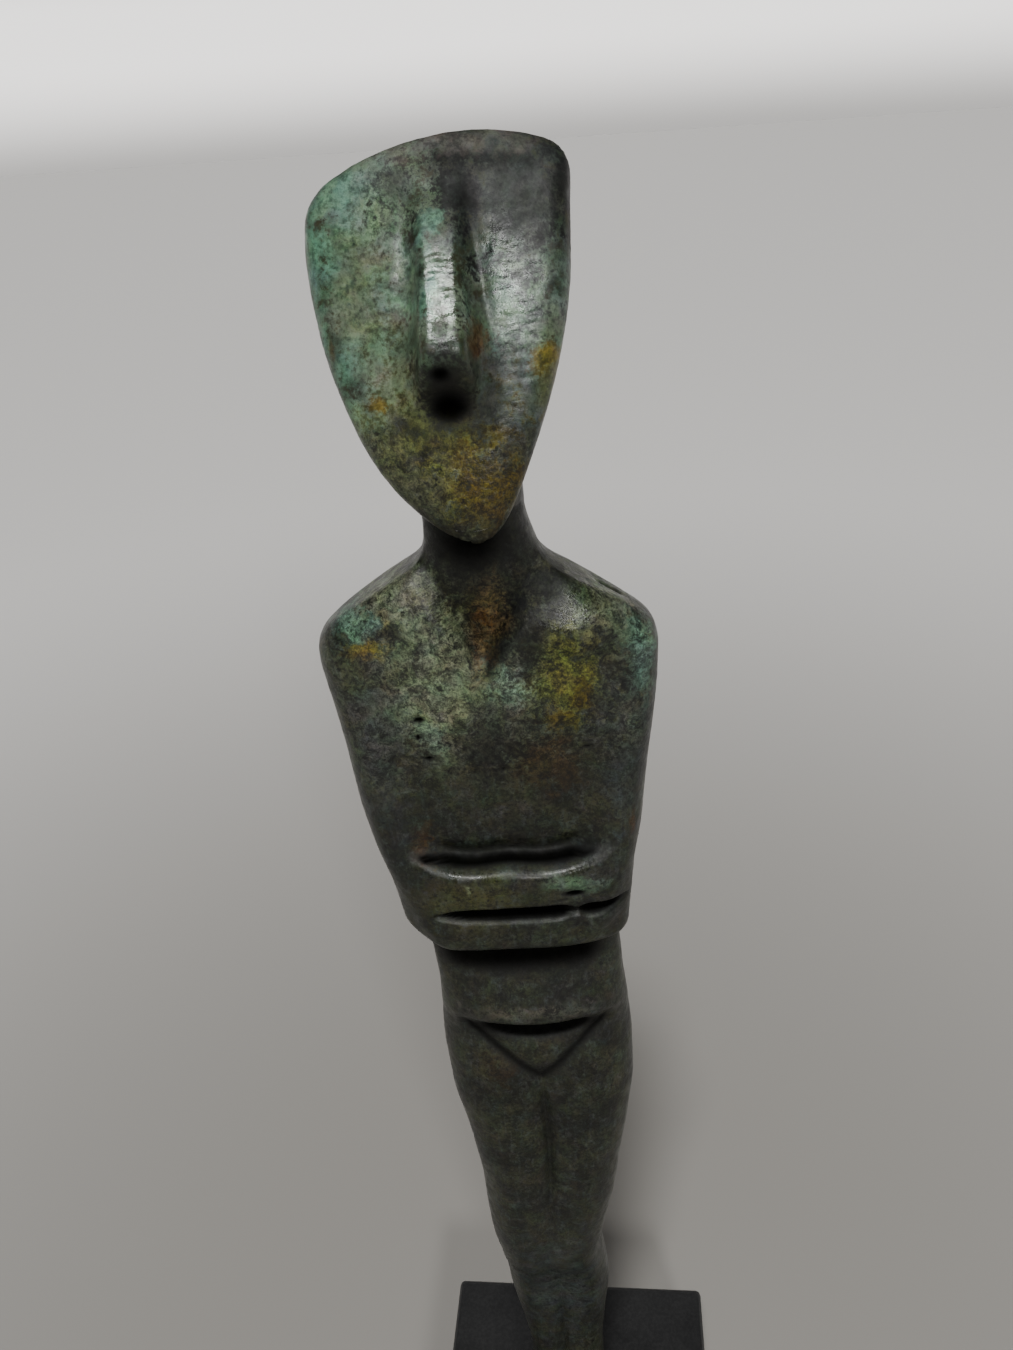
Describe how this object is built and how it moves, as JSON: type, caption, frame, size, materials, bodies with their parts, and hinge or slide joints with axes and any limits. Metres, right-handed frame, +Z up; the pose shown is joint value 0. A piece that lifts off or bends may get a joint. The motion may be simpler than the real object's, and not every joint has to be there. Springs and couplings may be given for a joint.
{
  "type": "cycladic idol",
  "caption": "Small cast-bronze standing figure with folded arms and a tilted shield-shaped face, dark green patina, on a square black plinth.",
  "frame": {"origin": "middle of the plinth's underside, on the surface that the part stands on", "axes": "+Z up, the figure faces -Y, +X to the viewer's right"},
  "size_m": [0.05, 0.05, 0.2414],
  "materials": {
    "bronze": null,
    "black_stone": null
  },
  "bodies": {
    "root": {"bronze_figure": "bronze", "plinth": "black_stone"}
  },
  "joints": []
}
